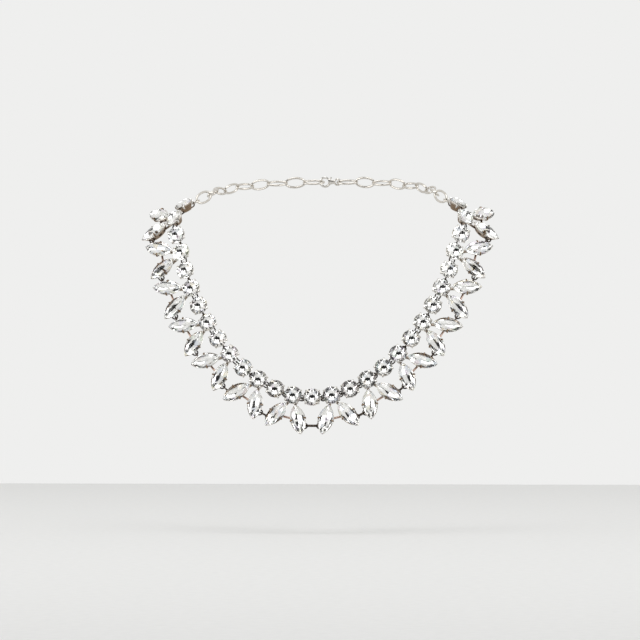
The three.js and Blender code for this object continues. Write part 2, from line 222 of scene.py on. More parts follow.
def link_frame(k):
    """The frame of link k of the inner row at its cup's foot, from the left end to the right."""
    if k < 0:
        return mirror_frame(link_frame(-k))
    end = route_at(joints[k])[0]
    start = route_at(joints[k - 1])[0] if k else mirrored(end)
    middle = (joints[k] + joints[k - 1]) / 2 if k else 0
    out = route_at(middle)[1]
    at_wire = frame_of((start + end) / 2, end - start, out)
    return at_wire @ Matrix.Translation((0, 0, -LOOP_HEIGHT))


def side_name(k):
    return "left" if k < 0 else "right"


MM = 0.001
HERE = Matrix.Identity(4)
SHARP_BEND = math.radians(38)  # an edge that turns more than this stays crisp


class Piece:
    """Vertices in mm and faces with a material and a shading, gathered part by part. A vertex's recess
    is 0 where a cloth rubs the plate bright and 1 where it never reaches; the plate darkens with it,
    partly as tarnish and partly as painted shade."""

    def __init__(self):
        self.vertices, self.faces, self.materials, self.smooth, self.recess = [], [], [], [], []

    def add(self, vertices, faces, material, smooth, recess, place=HERE):
        start = len(self.vertices)
        self.vertices += [place @ v for v in vertices]
        self.faces += [[start + i for i in face] for face in faces]
        self.materials += [material] * len(faces)
        self.smooth += [smooth] * len(faces)
        self.recess += recess

    def add_wire(self, wire, material, recess=0.0, place=HERE):
        vertices, faces = wire
        self.add(vertices, faces, material, True, [recess] * len(vertices), place)

    def make(self, name, node, matrix, materials):
        used = [m for m in materials if m in self.materials]
        mesh = bpy.data.meshes.new(name)
        corners = [tuple(MM * c for c in matrix @ v) for v in self.vertices]
        mesh.from_pydata(corners, [], self.faces)
        for key in used:
            mesh.materials.append(materials[key])
        mesh.polygons.foreach_set("material_index", [used.index(m) for m in self.materials])
        mesh.polygons.foreach_set("use_smooth", self.smooth)
        mesh.attributes.new("recess", "FLOAT", "POINT").data.foreach_set("value", self.recess)
        mesh.set_sharp_from_angle(angle=SHARP_BEND)
        mesh.validate()
        piece = bpy.data.objects.new(name, mesh)
        bpy.context.scene.collection.objects.link(piece)
        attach(piece, "root")
        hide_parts(node)


def tube(points, radii, sides=8, closed=False, flat=1.0, up=Vector((0, 0, 1))):
    """Wire along the points. flat is its thickness along up as a share of its width."""
    vertices, faces = [], []
    count = len(points)
    for i, point in enumerate(points):
        before = points[i - 1] if i or closed else point
        after = points[(i + 1) % count] if i < count - 1 or closed else point
        along = (after - before).normalized()
        across = along.cross(up).normalized()
        over = across.cross(along)
        radius = radii[i] if isinstance(radii, (list, tuple)) else radii
        for j in range(sides):
            angle = 2 * math.pi * (j + 0.5) / sides
            offset = across * math.cos(angle) + over * (math.sin(angle) * flat)
            vertices.append(point + offset * radius)
    for i in range(count if closed else count - 1):
        here, there = i * sides, (i + 1) % count * sides
        for j in range(sides):
            beside = (j + 1) % sides
            faces.append([here + j, here + beside, there + beside, there + j])
    if not closed:
        faces.append(list(range(sides))[::-1])
        faces.append([(count - 1) * sides + j for j in range(sides)])
    return vertices, faces


def round_outline(angle, inset):
    radius = CUP_RADIUS - inset
    return Vector((radius * math.cos(angle), radius * math.sin(angle), 0))


CUP_SEGMENTS = 64
FLUTES = 16
FLUTE_DEPTH = 0.22
# The flutes take more of the plate's tarnish and painted shade.
FLUTE_TARNISH_AND_SHADE = 2.0  # how much a millimetre of flute adds to the recess
WINDOW_DEPTH = 0.55
# The cup's wall from the dimple in its base, up the outside, over the rim and down the inside
CUP_PROFILE = (
    # height, inset, share of a flute's depth, recess
    (0.35, 3.75, 0, 0.9),
    (0.0, 3.6, 0, 0.5),
    (0.0, FOOT_INSET + 0.15, 0, 0.4),
    (0.12, FOOT_INSET, 0, 0.5),
    (0.45, FOOT_INSET - 0.15, 0.3, 0.7),
    (0.9, FOOT_INSET - 0.42, 1, 0.9),
    (2.7, 0.85, 1, 0.9),
    (3.15, 0.5, 0.3, 0.7),
    (3.4, 0.24, 0, 0.6),
    (3.9, 0.06, 0, 0.4),
    (CUP_HEIGHT - 0.1, 0.02, 0, 0.3),
    (CUP_HEIGHT, 0.12, 0, 0.25),
    (CUP_HEIGHT - 0.04, CUP_WALL - 0.1, 0, 0.3),
    (3.9, CUP_WALL + 0.02, 0, 1.0),
    (2.7, 1.4, 0, 1.0),
    (0.9, FOOT_INSET + 0.4, 0, 1.0),
    (0.5, 3.4, 0, 1.0),
)


def cup(piece, outline, profile, place, flutes=0, windows=()):
    """A stamped cup. A window is open at one level of the wall, from one segment up to another."""
    segments = CUP_SEGMENTS
    vertices, faces, recess = [], [], []
    for height, inset, share, hidden in profile:
        for i in range(segments):
            angle = 2 * math.pi * i / segments
            flute = share * FLUTE_DEPTH * (0.5 - 0.5 * math.cos(flutes * angle)) if flutes else 0
            vertices.append(outline(angle, inset + flute) + Vector((0, 0, height)))
            recess.append(min(1.0, hidden + FLUTE_TARNISH_AND_SHADE * flute))
    open_cells = {(level, i) for level, first, last in windows for i in range(first, last)}
    pockets = []
    for level in range(len(profile) - 1):
        for i in range(segments):
            j = (i + 1) % segments
            here, there = level * segments, (level + 1) * segments
            quad = [here + i, here + j, there + j, there + i]
            (pockets if (level, i) in open_cells else faces).append(quad)
    last = (len(profile) - 1) * segments
    faces.append(list(range(segments))[::-1])
    faces.append([last + i for i in range(segments)])
    piece.add(vertices, faces, "silver", True, recess, place)
    # Behind a window lies the lacquered back of the stone, in a shallow pocket, its dark brown partly
    # painted shade for the hole.
    for quad in pockets:
        corners = [vertices[i] for i in quad]
        back = [c - Vector((c.x, c.y, 0)).normalized() * WINDOW_DEPTH for c in corners]
        sides = [[(k + 1) % 4, k, 4 + k, 4 + (k + 1) % 4] for k in range(4)]
        piece.add(corners + back, sides + [[4, 5, 6, 7]], "shaded_lacquer", False, [1.0] * 8, place)


def claw(piece, angle, outline, place, width, proud, recess):
    """A prong that grows out of the cup's wall and is folded over the girdle onto the crown."""
    stations = (
        # inset, height, share of the width
        (1.25, 2.2, 0.6),
        (0.74, 2.8, 0.85),
        (0.3, 3.35, 1.0),
        (0.06, 3.9, 1.0),
        (0.1, 4.45, 1.0),
        (0.42, 4.88, 0.95),
        (0.85, 5.15, 0.8),
        (1.15, 5.33, 0.45),
    )
    points = [outline(angle, inset - proud) + Vector((0, 0, height)) for inset, height, _ in stations]
    around = Vector((0, 0, 1)).cross(outline(angle, 0).normalized())
    wire = tube(points, [width * share for _, _, share in stations], up=around)
    piece.add_wire(wire, "silver", recess, place)


# Heights above the cup's foot, and insets from its outside
TABLE = 6.0
TABLE_INSET = CUP_WALL + 1.75
GIRDLE_TOP = 4.44
GIRDLE_BOTTOM = 4.24
SEAT = 0.1  # the girdle's inset, which leaves no more than a hair of the rim in sight
# The crown's star facets end at these shares of the way in from the girdle and up to the table.
STAR_REACH = 0.52
STAR_RISE = 0.66
# The pavilion's long facets end at these shares of the way out to the girdle and down from it.
WAIST_REACH = 0.6
WAIST_DROP = 0.446


def brilliant(piece, outline, pavilion, keel, place):
    """A brilliant-cut stone: table, stars, kites and girdle facets in glass over a foiled pavilion.
    keel is half the length of the pavilion's lowest line, which on a round is nothing but a point."""
    mains = [math.pi / 4 * k for k in range(8)]
    between = [a + math.pi / 8 for a in mains]
    round_girdle = [math.pi / 8 * i for i in range(16)]

    def ring(angles, inset, height):
        return [outline(a, inset) + Vector((0, 0, height)) for a in angles]

    table = ring(mains, TABLE_INSET, TABLE)
    star_inset = SEAT + (TABLE_INSET - SEAT) * STAR_REACH
    stars = ring(between, star_inset, GIRDLE_TOP + (TABLE - GIRDLE_TOP) * STAR_RISE)
    upper = ring(round_girdle, SEAT, GIRDLE_TOP)
    lower = ring(round_girdle, SEAT, GIRDLE_BOTTOM)
    waist = []
    waist_height = Vector((0, 0, GIRDLE_BOTTOM - pavilion * WAIST_DROP))
    for a in between:
        edge, low = outline(a, SEAT), Vector((keel * math.cos(a), 0, 0))
        waist.append(low.lerp(edge, WAIST_REACH) + waist_height)
    culet = [Vector((keel * math.cos(a), 0, GIRDLE_BOTTOM - pavilion)) for a in mains]
    vertices = table + stars + upper + lower + waist + (culet if keel else culet[:1])
    # Where the corners of each ring start in that list
    star_at, upper_at, lower_at, waist_at, culet_at = 8, 16, 32, 48, 56
    glass, foil = [list(range(8))], []
    for k in range(8):
        after, star, waist_end = (k + 1) % 8, star_at + k, waist_at + k
        near_top, mid_top, far_top = (upper_at + (2 * k + i) % 16 for i in range(3))
        near_low, mid_low, far_low = (lower_at + (2 * k + i) % 16 for i in range(3))
        glass += [[k, star, after], [k, near_top, star], [after, star, far_top]]
        glass += [[star, near_top, mid_top], [star, mid_top, far_top]]
        glass += [[near_top, near_low, mid_low, mid_top], [mid_top, mid_low, far_low, far_top]]
        foil += [[near_low, waist_end, mid_low], [mid_low, waist_end, far_low]]
        if keel:
            near_culet, far_culet = culet_at + k, culet_at + after
            foil += [[near_low, near_culet, waist_end], [waist_end, far_culet, far_low]]
            foil.append([waist_end, near_culet, far_culet])
        else:
            foil += [[near_low, culet_at, waist_end], [waist_end, culet_at, far_low]]
    piece.add(vertices, glass + foil, "glass", False, [0.0] * len(vertices), place)
    piece.materials[-len(foil) :] = ["foil"] * len(foil)


# Where a loop's two legs start in the cup's wall, from the cup's middle. The wall leans outwards, so
# that the higher leg of an upright loop starts further out.
UPRIGHT_LEGS = (2.3, 3.6)
FLAT_LEGS = (2.7, 2.7)


def loop_path(legs, outer, upright, steps=8):
    """The wire's line for a loop that reaches out along X."""
    radius, height = LOOP_RADIUS, LOOP_HEIGHT
    turns = [math.pi * i / steps - math.pi / 2 for i in range(steps + 1)]
    flat = [(outer - radius + radius * math.cos(t), radius * math.sin(t)) for t in turns]
    flat = [(legs[0], -radius)] + flat + [(legs[1], radius)]
    if upright:
        return [Vector((x, 0, height + y)) for x, y in flat]
    return [Vector((x, y, height)) for x, y in flat]


def cup_loops(piece, upright):
    legs = UPRIGHT_LEGS if upright else FLAT_LEGS
    path = loop_path(legs, LOOP_REACH - WIRE / 2, upright)
    normal = Vector((0, 1, 0)) if upright else Vector((0, 0, 1))
    for half_turn in (0, math.pi):
        place = Matrix.Rotation(half_turn, 4, "Z")
        piece.add_wire(tube(path, WIRE / 2, up=normal), "dark", place=place)


def linear(hex_colour):
    """An sRGB colour as the renderer's linear light."""
    channels = [int(hex_colour[i : i + 2], 16) / 255 for i in (1, 3, 5)]
    return [c / 12.92 if c <= 0.04045 else ((c + 0.055) / 1.055) ** 2.4 for c in channels] + [1]


def node(tree, kind, settings=None, inputs=None, stops=()):
    """Adds a node. An input is a value or a socket to link from, and stops are a ramp's colours."""
    made = tree.nodes.new(kind)
    for key, value in (settings or {}).items():
        setattr(made, key, value)
    for key, value in (inputs or {}).items():
        if isinstance(value, bpy.types.NodeSocket):
            tree.links.new(value, made.inputs[key])
        else:
            made.inputs[key].default_value = value
    if stops:
        ramp = made.color_ramp.elements
        for end, (position, colour) in zip(ramp, (stops[0], stops[-1])):
            end.position, end.color = position, linear(colour)
        for position, colour in stops[1:-1]:
            ramp.new(position).color = linear(colour)
    return made


def material(name):
    made = bpy.data.materials.new(name)
    made.use_nodes = True
    made.node_tree.nodes.clear()
    return made, made.node_tree


# Bright silver plated over brass. A cloth keeps the outer edges polished, and the recesses darken to a
# dull warm brown, partly tarnish and partly painted shade, so that every cup reads as a light rim over a
# dark wall.
def silver_plate(name, mark_mm):
    made, tree = material(name)
    place = node(tree, "ShaderNodeTexCoord").outputs["Object"]
    # The tarnish and painted shade lie in clouds just under a millimetre wide.
    cloud = node(
        tree, "ShaderNodeTexNoise", None, {"Vector": place, "Scale": 1 / (0.9 * MM), "Detail": 5}
    )
    recess = node(tree, "ShaderNodeAttribute", {"attribute_name": "recess"})
    # The clouds darken the recesses unevenly with tarnish and painted shade, and the cloth clears the
    # rest.
    tarnish_and_shade = node(
        tree,
        "ShaderNodeMath",
        {"operation": "MULTIPLY_ADD", "use_clamp": True},
        {0: cloud.outputs["Fac"], 1: 0.5, 2: recess.outputs["Fac"]},
    )
    tarnish_and_shade = node(
        tree,
        "ShaderNodeMath",
        {"operation": "SUBTRACT", "use_clamp": True},
        {0: tarnish_and_shade.outputs[0], 1: 0.3},
    )
    # Bright silver on the edges, dark warm brown in the recesses: tarnish with painted shade
    colour = node(
        tree,
        "ShaderNodeValToRGB",
        None,
        {"Fac": tarnish_and_shade.outputs[0]},
        ((0.0, "#E4E2DE"), (0.35, "#C9C2B8"), (0.7, "#87735F"), (1.0, "#4E3D30")),
    )
    rough = node(
        tree, "ShaderNodeMapRange", None, {"Value": tarnish_and_shade.outputs[0], "To Min": 0.16, "To Max": 0.42}
    )
    # The tool's marks in the brass still show through the plate.
    marks = node(
        tree, "ShaderNodeTexNoise", None, {"Vector": place, "Scale": 1 / (mark_mm * MM), "Detail": 2}
    )
    bump = node(
        tree,
        "ShaderNodeBump",
        None,
        {"Height": marks.outputs["Fac"], "Strength": 0.12, "Distance": 0.05 * MM},
    )
    surface = node(
        tree,
        "ShaderNodeBsdfPrincipled",
        None,
        {
            "Base Color": colour.outputs[0],
            "Metallic": 1.0,
            "Roughness": rough.outputs[0],
            "Normal": bump.outputs[0],
        },
    )
    node(tree, "ShaderNodeOutputMaterial", None, {"Surface": surface.outputs[0]})
    return made


# Drawn brass wire, plated thin and never reached by a cloth: brown-black, partly tarnish and partly
# painted shade for the wire that lies in shadow between the stones, with a dull silver left in patches.
# It gives the dark dots between the stones.
def shaded_tarnished_wire():
    made, tree = material("shaded_tarnished_plate_on_drawn_wire")
    place = node(tree, "ShaderNodeTexCoord").outputs["Object"]
    # The dark colour gives way to dull silver in patches 0.6 mm wide.
    patch = node(
        tree, "ShaderNodeTexNoise", None, {"Vector": place, "Scale": 1 / (0.6 * MM), "Detail": 4}
    )
    # Brown-black tarnish and painted shade, up to dull silver
    colour = node(
        tree,
        "ShaderNodeValToRGB",
        None,
        {"Fac": patch.outputs["Fac"]},
        ((0.3, "#2B241F"), (0.55, "#4A4038"), (0.75, "#8C8278")),
    )
    surface = node(
        tree,
        "ShaderNodeBsdfPrincipled",
        None,
        {"Base Color": colour.outputs[0], "Metallic": 1.0, "Roughness": 0.35},
    )
    node(tree, "ShaderNodeOutputMaterial", None, {"Surface": surface.outputs[0]})
    return made


# Lead-free crystal, cut and polished by machine: flat facets with sharp edges and no colour of their
# own, which split what stands round the stone into hard white, grey and black patches.
def cut_crystal():
    made, tree = material("clear_machine_cut_crystal")
    place = node(tree, "ShaderNodeTexCoord").outputs["Object"]
    # Handling dulls the polish in patches about a millimetre wide.
    wear = node(
        tree, "ShaderNodeTexNoise", None, {"Vector": place, "Scale": 1 / (1.2 * MM), "Detail": 3}
    )
    colour = node(
        tree,
        "ShaderNodeValToRGB",
        None,
        {"Fac": wear.outputs["Fac"]},
        ((0.3, "#FFFFFF"), (0.5, "#FEFEFD"), (0.7, "#FFFDFA")),
    )
    rough = node(
        tree,
        "ShaderNodeMapRange",
        None,
        {"Value": wear.outputs["Fac"], "From Min": 0.4, "From Max": 0.8, "To Min": 0.0, "To Max": 0.03},
    )
    surface = node(
        tree,
        "ShaderNodeBsdfPrincipled",
        None,
        {
            "Base Color": colour.outputs[0],
            "Roughness": rough.outputs[0],
            "IOR": 1.56,
            "Transmission Weight": 1.0,
        },
    )
    node(tree, "ShaderNodeOutputMaterial", None, {"Surface": surface.outputs[0]})
    return made


# Silver coated onto the back facets in a vacuum: a mirror behind the glass, which makes the stones
# bright, with a faint blue, pink or yellow on some facets for the colours that cut glass spreads.
def silver_foil():
    made, tree = material("vacuum_coated_silver_foil")
    place = node(tree, "ShaderNodeTexCoord").outputs["Object"]
    # The tint changes from facet to facet, about every 2 mm.
    tint = node(tree, "ShaderNodeTexVoronoi", None, {"Vector": place, "Scale": 1 / (1.8 * MM)})
    split = node(tree, "ShaderNodeSeparateColor", None, {"Color": tint.outputs["Color"]})
    colour = node(
        tree,
        "ShaderNodeValToRGB",
        None,
        {"Fac": split.outputs[0]},
        (
            (0.0, "#F8F8F7"),
            (0.7, "#F5F5F4"),
            (0.8, "#E9EEF6"),
            (0.87, "#F2EAF3"),
            (0.94, "#F8F2E2"),
            (1.0, "#E8F4F1"),
        ),
    )
    surface = node(
        tree,
        "ShaderNodeBsdfPrincipled",
        None,
        {"Base Color": colour.outputs[0], "Metallic": 1.0, "Roughness": 0.03},
    )
    node(tree, "ShaderNodeOutputMaterial", None, {"Surface": surface.outputs[0]})
    return made


# Bronze lacquer sprayed over the foil to guard it, darkened with painted shade for the hollow behind the
# windows. It is seen only through the windows of the cups, as small dark brown squares with a dull
# sheen.
def shaded_foil_lacquer():
    made, tree = material("bronze_lacquer_with_painted_shade")
    place = node(tree, "ShaderNodeTexCoord").outputs["Object"]
    # The spray dries in a grain 0.3 mm wide.
    grain = node(
        tree, "ShaderNodeTexNoise", None, {"Vector": place, "Scale": 1 / (0.3 * MM), "Detail": 4}
    )
    # The lacquer's bronze darkened with painted shade
    colour = node(
        tree,
        "ShaderNodeValToRGB",
        None,
        {"Fac": grain.outputs["Fac"]},
        ((0.3, "#2A1D17"), (0.7, "#4A3328")),
    )
    surface = node(
        tree,
        "ShaderNodeBsdfPrincipled",
        None,
        {"Base Color": colour.outputs[0], "Metallic": 0.4, "Roughness": 0.45},
    )
    node(tree, "ShaderNodeOutputMaterial", None, {"Surface": surface.outputs[0]})
    return made


SETTING = {
    "silver": silver_plate("silver_plate_on_stamped_brass", 0.15),
    # The wires' brown-black is partly painted shade.
    "dark": shaded_tarnished_wire(),
    "glass": cut_crystal(),
    "foil": silver_foil(),
    "shaded_lacquer": shaded_foil_lacquer(),
}
ROUND_PAVILION = 2.4  # its depth below the girdle


def set_chaton(piece):
    cup(piece, round_outline, CUP_PROFILE, HERE, flutes=FLUTES)
    for k in range(4):
        angle = math.pi / 4 + math.pi / 2 * k
        claw(piece, angle, round_outline, HERE, width=0.48, proud=0.18, recess=0.1)
    brilliant(piece, round_outline, ROUND_PAVILION, 0.0, HERE)


for k in range(-LINKS_PER_SIDE, LINKS_PER_SIDE + 1, 2):
    name = f"round_stone_{side_name(k)}_{abs(k) // 2}" if k else "round_stone_centre"
    plain = Piece()
    set_chaton(plain)
    cup_loops(plain, upright=True)
    plain.make(f"set_{name}", name, link_frame(k), SETTING)


# The navette pairs: a round hub with two navettes soldered to it by arms under the stones, and a
# crossbar between them whose plate has worn to its copper. A navette's stamped cup has small windows in
# its wall, a claw over each side of the stone and a wire eyelet for the spacer link.
NAVETTE_LENGTH = 15
NAVETTE_WIDTH = 7
NAVETTE_PAVILION = 1.1
NAVETTE_KEEL = 3.6
TIP_INSET = 1.5  # an inset takes this many times as much off the length as off the width
SPLAY = math.radians(27)
TIP_GAP = 0.35  # from the hub's rim to the navette's
BAR_HEIGHT = 1.9  # of the arms' upper face above the foot, and the crossbar lies level with them
BAR_THICKNESS = 1.0
ARM_WIDTH = 1.4
ARM_START = 2.6  # from the hub's middle
ARM_END = 5.3  # short of the navette's middle
CROSSBAR_DROP = 11.2  # from the hub's middle
CROSSBAR_INSET = 2.3  # from the navettes' middle lines to its ends, in the cups' walls
CROSSBAR_THICKNESS = 1.1
SPACER_ALONG = 3.4  # from a navette's middle towards its outer tip
SPACER_STANDOFF = 2.0  # from the foot's wall to the spacer's wire in its eyelet
EYELET_LEGS = (0.75, 2.0)  # where they start off the middle line, the leg nearer the tip first
NAVETTE_HALF_LENGTH = NAVETTE_LENGTH / 2 + CUP_WALL
NAVETTE_HALF_WIDTH = NAVETTE_WIDTH / 2 + CUP_WALL
NAVETTE_REACH = CUP_RADIUS + TIP_GAP + NAVETTE_HALF_LENGTH


def navette_sizes(inset):
    """Half the length and half the width at that inset from the rim, and the radius of both arcs."""
    half_length = NAVETTE_HALF_LENGTH - inset * TIP_INSET
    half_width = NAVETTE_HALF_WIDTH - inset
    return half_length, half_width, (half_length**2 + half_width**2) / (2 * half_width)


def navette_outline(angle, inset):
    """Two arcs that meet in a point at each end of X."""
    half_length, half_width, arc = navette_sizes(inset)
    x = half_length * math.cos(angle)
    y = math.sqrt(max(arc**2 - x**2, 0)) - (arc - half_width)
    return Vector((x, math.copysign(max(y, 0), math.sin(angle)), 0))


def navette_foot(along):
    """Half the width of the foot, that far from its middle."""
    _, half_width, arc = navette_sizes(FOOT_INSET)
    return math.sqrt(arc**2 - along**2) - (arc - half_width)


NAVETTE_PROFILE = (
    # height, inset, share of a flute's depth, recess
    (0.0, FOOT_INSET + 0.2, 0, 0.4),
    (0.15, FOOT_INSET, 0, 0.5),
    (1.0, FOOT_INSET - 0.45, 0, 0.9),
    (2.3, 1.02, 0, 0.9),
    (3.1, 0.55, 0, 0.7),
    (3.8, 0.1, 0, 0.45),
    (CUP_HEIGHT - 0.1, 0.02, 0, 0.3),
    (CUP_HEIGHT, 0.12, 0, 0.25),
    (CUP_HEIGHT - 0.04, CUP_WALL - 0.1, 0, 0.3),
    (3.9, CUP_WALL + 0.02, 0, 1.0),
    (2.6, 1.35, 0, 1.0),
    (0.5, FOOT_INSET + 0.3, 0, 1.0),
)
# Windows in the third level of the wall, four to a side and three segments wide
WINDOWS = [
    (2, first + turn, first + turn + 3)
    for turn in (0, CUP_SEGMENTS // 2)
    for first in (5, 11, 18, 24)
]


def set_navette(piece, place):
    cup(piece, navette_outline, NAVETTE_PROFILE, place, windows=WINDOWS)
    for angle in (math.pi / 2, -math.pi / 2):
        claw(piece, angle, navette_outline, place, width=0.45, proud=0.0, recess=0.8)
    brilliant(piece, navette_outline, NAVETTE_PAVILION, NAVETTE_KEEL, place)


def pair_side(side):
    """The frame of a pair's right (1) or left (-1) navette, with its outer tip along X."""
    turned = Matrix.Rotation(-math.pi / 2 + side * SPLAY, 4, "Z")
    return turned @ Matrix.Translation((NAVETTE_REACH, 0, 0))


def eyelet_centre(side):
    """Where the spacer's end lies in the eyelet on that side of the pair."""
    across = side * (navette_foot(SPACER_ALONG) + SPACER_STANDOFF)
    return pair_side(side) @ Vector((SPACER_ALONG, across, LOOP_HEIGHT))


# The silver has been dressed off the soldered bars, down to the copper flash under it: a dull pink
# metal, with some silver left in patches.
def copper_flash():
    made, tree = material("copper_flash_bared_by_dressing")
    place = node(tree, "ShaderNodeTexCoord").outputs["Object"]
    # The patches are half a millimetre wide.
    worn = node(
        tree, "ShaderNodeTexNoise", None, {"Vector": place, "Scale": 1 / (0.5 * MM), "Detail": 4}
    )
    colour = node(
        tree,
        "ShaderNodeValToRGB",
        None,
        {"Fac": worn.outputs["Fac"]},
        ((0.25, "#9C8377"), (0.55, "#BBA295"), (0.8, "#D6CFC8")),
    )
    surface = node(
        tree,
        "ShaderNodeBsdfPrincipled",
        None,
        {"Base Color": colour.outputs[0], "Metallic": 1.0, "Roughness": 0.3},
    )
    node(tree, "ShaderNodeOutputMaterial", None, {"Surface": surface.outputs[0]})
    return made


SETTING["copper"] = copper_flash()
bar_middle = BAR_HEIGHT - BAR_THICKNESS / 2
arm_stops = (ARM_START - NAVETTE_REACH, -NAVETTE_HALF_LENGTH, -ARM_END)
eyelet_reach = navette_foot(SPACER_ALONG) + SPACER_STANDOFF + WIRE + CLEARANCE
half_crossbar = CROSSBAR_DROP * math.tan(SPLAY) - CROSSBAR_INSET

for k in range(1 - LINKS_PER_SIDE, LINKS_PER_SIDE, 2):
    name = f"navette_pair_{side_name(k)}_{(abs(k) + 1) // 2}"
    pair = Piece()
    set_chaton(pair)
    cup_loops(pair, upright=False)
    for side in (-1, 1):
        place = pair_side(side)
        set_navette(pair, place)
        arm = [Vector((x, 0, bar_middle)) for x in arm_stops]
        wire = tube(arm, ARM_WIDTH / 2, 10, flat=BAR_THICKNESS / ARM_WIDTH)
        pair.add_wire(wire, "silver", 0.6, place)
        eyelet = loop_path(EYELET_LEGS[::side], eyelet_reach, False)
        foot = place @ Matrix.Translation((SPACER_ALONG, 0, 0))
        sideways = foot @ Matrix.Rotation(side * math.pi / 2, 4, "Z")
        pair.add_wire(tube(eyelet, WIRE / 2), "dark", place=sideways)
    bar = [Vector((x * half_crossbar, -CROSSBAR_DROP, bar_middle)) for x in (-1, -0.5, 0, 0.5, 1)]
    pair.add_wire(tube(bar, CROSSBAR_THICKNESS / 2, 10), "copper", 0.2)
    pair.make(f"set_{name}", name, link_frame(k), SETTING)


# The spacer links: long closed links of plated wire, bent and soldered, that hold the tips of
# neighbouring pairs apart. Each stands on edge through the eyelets of both navettes.
def long_link(half_length, half_width, steps=8):
    """The wire's line for a link with straight sides, measured to the middle of the wire."""
    end = [math.pi * i / steps - math.pi / 2 for i in range(steps + 1)]
    straight = half_length - half_width
    right = [Vector((straight + half_width * math.cos(t), half_width * math.sin(t), 0)) for t in end]
    return right + [-p for p in right]


UPRIGHT = Matrix.Rotation(math.pi / 2, 4, "X")
for k in range(1 - LINKS_PER_SIDE, LINKS_PER_SIDE - 1, 2):
    left, right = link_frame(k), link_frame(k + 2)
    start, end = left @ eyelet_centre(1), right @ eyelet_centre(-1)
    out = left.col[2].xyz + right.col[2].xyz
    gap = (k + 1) // 2
    name = f"spacer_link_{side_name(gap)}_{abs(gap)}" if gap else "spacer_link_centre"
    line = long_link((end - start).length / 2, LOOP_RADIUS)
    spacer = Piece()
    spacer.add_wire(tube(line, WIRE / 2, 10, closed=True), "dark", place=UPRIGHT)
    between_pairs = frame_of((start + end) / 2, end - start, out)
    spacer.make(f"wire_{name}", name, between_pairs, SETTING)


# The end rings and the chain: soldered jump rings at the last rounds, and a cable chain round the nape.
# Its oval links are bent from plated brass wire and closed, each turned a quarter against the next.
END_RING_BORE = 3.4
END_RING_WIRE = 0.8
CHAIN_WIRE = 1.2
CHAIN_LINK_LENGTH = 12
CHAIN_LINK_WIDTH = 6.4
CHAIN_SOLDER = 0.42  # how far neighbouring links sink into each other
CLASP_LENGTH = 12
CLASP_EYE_BORE = 2.4
CLASP_EYE_WALL = 0.9
CLASP_HOOK_WALL = 1.4


def oval(half_length, half_width, steps=28):
    """The wire's line for an oval link or a ring."""
    turns = [2 * math.pi * i / steps for i in range(steps)]
    return [Vector((half_length * math.cos(t), half_width * math.sin(t), 0)) for t in turns]


def route_frame(arc, reach=0.5):
    """A frame on the line, turned as the line runs between reach before it and reach after."""
    point, out = route_at(arc)
    return frame_of(point, route_at(arc + reach)[0] - route_at(arc - reach)[0], out)


# Plate on drawn wire keeps only the draw plate's fine marks, so the chain shines more evenly.
CHAIN_WIRES = {"silver": silver_plate("silver_plate_on_drawn_brass_wire", 0.1)}

end_ring_radius = (END_RING_BORE + END_RING_WIRE) / 2
ring_near = LOOP_REACH - WIRE - CLEARANCE - END_RING_WIRE - pitch_at(LINKS_PER_SIDE) / 2
ring_frame = route_frame(joints[-1] + ring_near + END_RING_WIRE / 2 + end_ring_radius)
for side, matrix in (("right", ring_frame), ("left", mirror_frame(ring_frame))):
    line = oval(end_ring_radius, end_ring_radius)
    ring = Piece()
    ring.add_wire(tube(line, END_RING_WIRE / 2, 10, closed=True), "silver", 0.3)
    ring.make(f"wire_end_ring_{side}", f"end_ring_{side}", matrix, CHAIN_WIRES)

chain_start = joints[-1] + ring_near + END_RING_WIRE + END_RING_BORE - CLEARANCE - CHAIN_WIRE
eye_middle = CLASP_LENGTH / 2 - CLASP_EYE_BORE / 2 - CLASP_EYE_WALL
eye_grip = eye_middle + CLASP_EYE_BORE / 2 - 2 * CLEARANCE - CHAIN_WIRE
claw_grip = CLASP_LENGTH / 2 - CLASP_HOOK_WALL - 2 * CLEARANCE - CHAIN_WIRE
for side, grip in (("right", eye_grip), ("left", claw_grip)):
    span = HALF_LOOP - grip - chain_start
    nominal = CHAIN_LINK_LENGTH - 2 * CHAIN_WIRE
    count = 2 * round((span / nominal - 1) / 2) + 1
    pitch = (span - 2 * CHAIN_WIRE + CHAIN_SOLDER) / count
    length = pitch + 2 * CHAIN_WIRE - CHAIN_SOLDER
    line = oval((length - CHAIN_WIRE) / 2, (CHAIN_LINK_WIDTH - CHAIN_WIRE) / 2)
    chain = Piece()
    for i in range(count):
        matrix = route_frame(chain_start + length / 2 + i * pitch)
        if side == "left":
            matrix = mirror_frame(matrix)
        if i % 2 == 0:
            matrix = matrix @ UPRIGHT
        chain.add_wire(tube(line, CHAIN_WIRE / 2, 10, closed=True), "silver", 0.25, matrix)
    chain.make(f"wire_chain_{side}", f"chain_{side}", HERE, CHAIN_WIRES)


# The clasp: a small lobster clasp, cast in brass and plated. It has an eye for the chain, a rounded claw
# round the last link of the other side, and the thumb lever of its spring gate.
CLASP_WIDTH = 6.4
CLASP_THICKNESS = 1.3
CLAW_TURN = 150  # degrees that the claw runs round to each side of the clasp's tip
CLAW_TAPER = 0.25  # the share of its wall that it loses from its root to its end
NECK_FLAT = 0.55  # the neck's thickness as a share of its width

# Plate on cast brass follows the tumbled casting, whose skin is softly uneven.
CASTING = {"silver": silver_plate("silver_plate_on_cast_brass", 0.35)}

